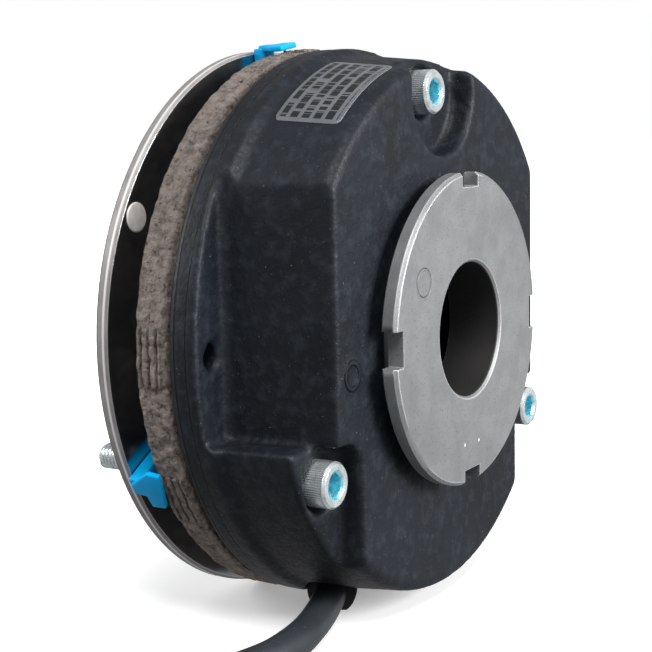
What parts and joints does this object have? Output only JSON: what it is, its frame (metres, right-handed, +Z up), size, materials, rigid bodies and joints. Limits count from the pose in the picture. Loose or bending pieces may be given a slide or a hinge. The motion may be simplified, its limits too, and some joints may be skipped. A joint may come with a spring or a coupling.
{
  "type": "spring-applied electromagnetic disc brake",
  "caption": "Flange-mounted fail-safe electromagnetic disc brake: black cast magnet housing, notched adjuster ring, armature plate, splined hub, blue transport clips and a lead.",
  "frame": {"origin": "on the shaft axis, in the mounting face of the flange plate", "axes": "shaft axis along Y; +Y points into the motor's end shield, the adjuster ring faces -Y; +Z is up through the upper screw"},
  "size_m": [0.1784, 0.1047, 0.1099],
  "materials": {
    "flange_steel": "bright rolled steel sheet",
    "rivet_zinc": "dull zinc",
    "screw_zinc": "blue-passivated zinc plate",
    "dark_steel": "oiled dark steel",
    "black_casting": "satin black coating on a cast surface",
    "label_foil": "matt silver foil with black print",
    "black_nylon": "moulded nylon",
    "copper_wire": "enamelled copper wire",
    "potting_resin": "cast epoxy resin",
    "spring_steel": "bright spring wire",
    "pin_steel": "ground steel",
    "sintered_steel": "sintered steel, dull zinc plate",
    "armature_steel": "rough brown-grey cut edge, nitrided",
    "cast_aluminium": "die-cast aluminium",
    "friction_material": "pressed friction compound",
    "hub_steel": "machined steel",
    "blue_plastic": "bright blue moulded plastic",
    "black_rubber": "moulded rubber",
    "cable_jacket": "dark grey PVC jacket",
    "core_brown_pvc": "PVC insulation",
    "core_blue_pvc": "PVC insulation",
    "tinned_copper": "tinned copper"
  },
  "bodies": {
    "brake": {"flange_plate": "flange_steel", "flange_rivets": "rivet_zinc", "socket_screws": "screw_zinc", "sleeve_bolts": "dark_steel", "magnet_housing": "black_casting", "type_label": "label_foil", "coil_bobbin": "black_nylon", "coil_winding": "copper_wire", "coil_potting": "potting_resin", "thrust_springs": "spring_steel", "cable_grommet": "black_rubber", "cable": "cable_jacket", "cable_coil": "cable_jacket", "cable_end": "cable_jacket", "core_brown": "core_brown_pvc", "core_blue": "core_blue_pvc", "core_ferrules": "tinned_copper"},
    "pins": {"thrust_pins": "pin_steel"},
    "ring": {"adjuster_ring": "sintered_steel"},
    "armature": {"armature_plate": "armature_steel"},
    "hub": {"hub": "hub_steel"},
    "rotor": {"rotor_carrier": "cast_aluminium", "friction_lining_flange": "friction_material", "friction_lining_armature": "friction_material"},
    "clip_top": {"transport_clip_top": "blue_plastic"},
    "clip_left": {"transport_clip_left": "blue_plastic"},
    "clip_right": {"transport_clip_right": "blue_plastic"}
  },
  "joints": [
    {"name": "armature_release", "type": "slide", "parent": "brake", "child": "armature", "axis": [0, -1, 0], "range_m": [0, 0.0008], "deforming": ["thrust_springs"]},
    {"name": "hub_spin", "type": "hinge", "parent": "brake", "child": "hub", "pos_m": [0, -0.0106, 0], "axis": [0, 1, 0], "continuous": true},
    {"name": "rotor_float", "type": "slide", "parent": "hub", "child": "rotor", "axis": [0, -1, 0], "range_m": [-0.00025, 0.00025]},
    {"name": "adjuster_travel", "type": "slide", "parent": "brake", "child": "pins", "axis": [0, -1, 0], "range_m": [-0.0015, 0.003], "deforming": ["thrust_springs"]},
    {"name": "adjuster_turn", "type": "hinge", "parent": "pins", "child": "ring", "pos_m": [0, -0.04, 0], "axis": [0, -1, 0], "range_deg": [-360, 720]},
    {"name": "clip_top_pull", "type": "slide", "parent": "brake", "child": "clip_top", "axis": [-0.1392, 0, 0.9903], "range_m": [0, 0.02]},
    {"name": "clip_left_pull", "type": "slide", "parent": "brake", "child": "clip_left", "axis": [-0.866, 0, -0.5], "range_m": [0, 0.02]},
    {"name": "clip_right_pull", "type": "slide", "parent": "brake", "child": "clip_right", "axis": [0.866, 0, -0.5], "range_m": [0, 0.02]}
  ],
  "couplings": [
    {"joint": "adjuster_travel", "follows": "adjuster_turn", "m_per_rad": 0.00023873}
  ]
}
